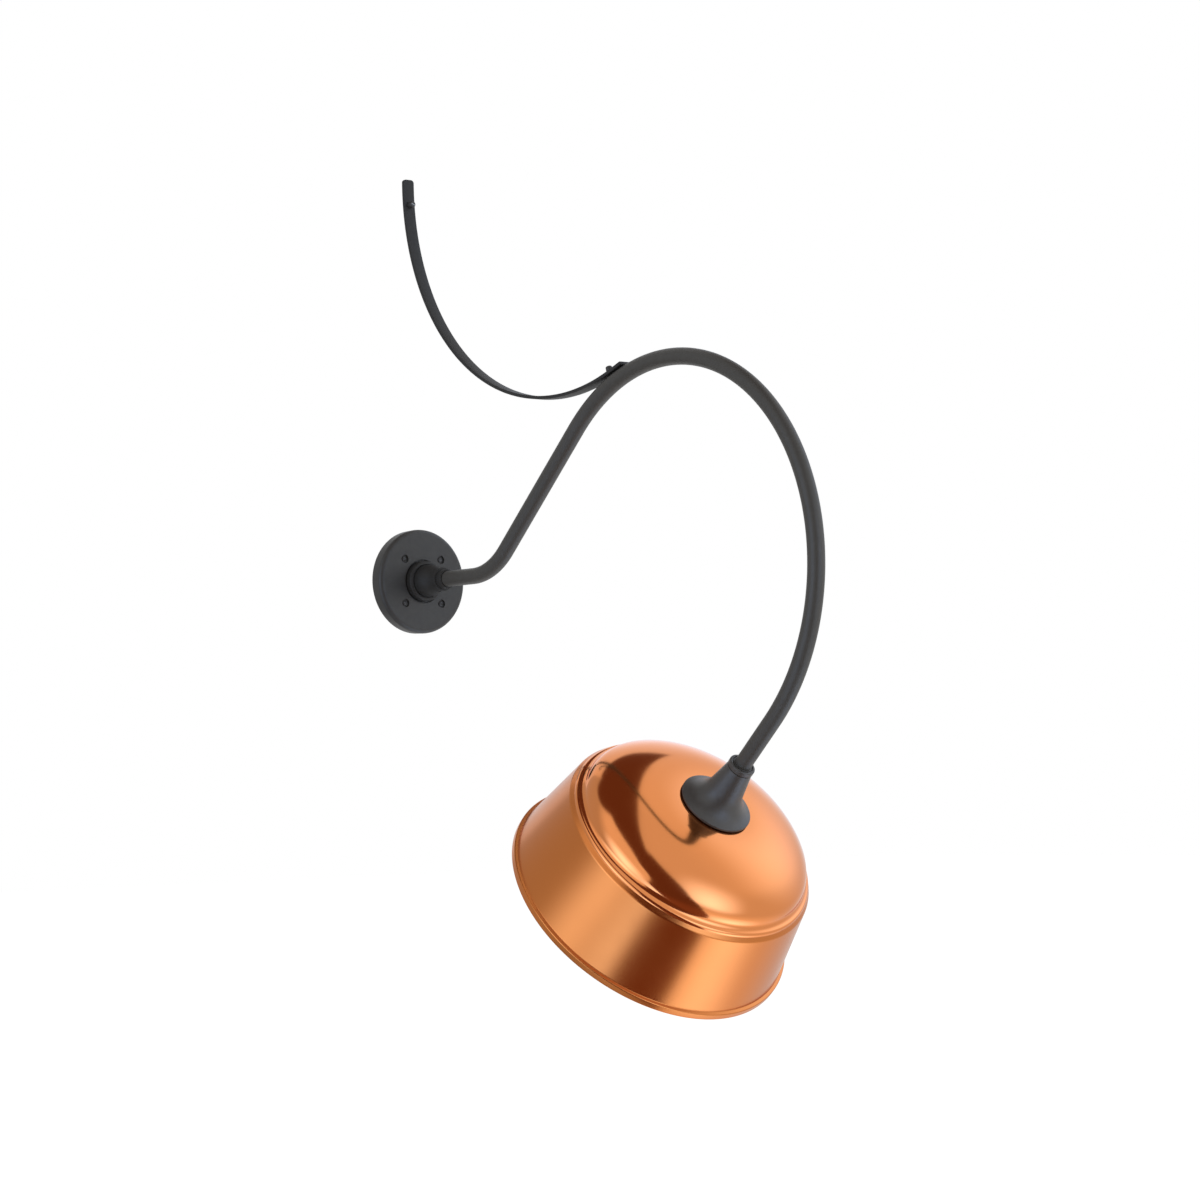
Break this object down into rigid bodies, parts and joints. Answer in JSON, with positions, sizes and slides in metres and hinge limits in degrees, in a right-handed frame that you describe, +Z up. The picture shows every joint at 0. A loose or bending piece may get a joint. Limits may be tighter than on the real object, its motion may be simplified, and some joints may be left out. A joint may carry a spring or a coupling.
{
  "type": "wall sconce",
  "caption": "Gooseneck wall sconce: round black wall plate, bent pipe arm that rises and arches over, flat curved brace and a tilted spun copper warehouse shade with a lamp holder inside",
  "frame": {"origin": "centre of the wall plate's back, on the wall", "axes": "+Z up; +Y into the wall, so the lamp reaches out along -Y; +X to the side; the arm, brace and shade lie in the plane X = 0"},
  "size_m": [0.3738, 0.8115, 1.1094],
  "materials": {
    "black_paint": "matte black powder coat",
    "black_screw": "black coated steel screw",
    "green_screw": "green dyed steel",
    "gasket_rubber": "moulded black rubber",
    "bracket_steel": "zinc plated steel",
    "zinc_steel": "zinc plated steel",
    "copper": "spun copper, polished crown and satin skirt",
    "porcelain": "glazed porcelain",
    "brass": "rolled brass",
    "bright_terminal": "tinned brass",
    "wire_black": "black insulated wire",
    "wire_white": "white insulated wire",
    "wire_nut_plastic": "orange plastic connector",
    "black_glass": "black vitrite glass",
    "bulb_glass": "clear bulb glass",
    "stem_glass": "pressed glass stem",
    "tungsten": "drawn tungsten wire"
  },
  "bodies": {
    "fixture": {"wall_plate": "black_paint", "wall_gasket": "gasket_rubber", "mounting_bracket": "bracket_steel", "plate_screws": "black_screw", "ground_screw": "green_screw", "arm_hub": "black_paint", "hub_set_screw": "black_screw", "hub_locknut": "bracket_steel", "arm_tube": "black_paint", "brace_strap": "black_paint", "brace_wall_screw": "black_screw", "brace_arm_screw": "black_screw", "brace_lock_washer": "black_screw", "neck_fitter": "black_paint", "fitter_set_screw": "black_screw", "fitter_gasket": "gasket_rubber", "shade": "copper", "threaded_nipple": "zinc_steel", "backing_washer": "zinc_steel", "nipple_lock_washer": "zinc_steel", "nipple_locknut": "zinc_steel", "holder_cap": "zinc_steel", "porcelain_body": "porcelain", "live_terminal": "brass", "neutral_terminal": "bright_terminal", "terminal_screws": "brass", "screw_shell": "brass", "holder_screws": "zinc_steel", "live_lead": "wire_black", "neutral_lead": "wire_white", "wire_nuts": "wire_nut_plastic"},
    "bulb": {"bulb_cap": "brass", "bulb_insulator": "black_glass", "bulb_contact": "bright_terminal", "bulb_glass": "bulb_glass", "bulb_stem": "stem_glass", "bulb_filament": "tungsten"}
  },
  "joints": [
    {"name": "bulb_turn", "type": "hinge", "parent": "fixture", "child": "bulb", "pos_m": [0, -0.55041, -0.35789], "axis": [0, -0.7343, 0.6788], "range_deg": [-1260, 0]}
  ]
}
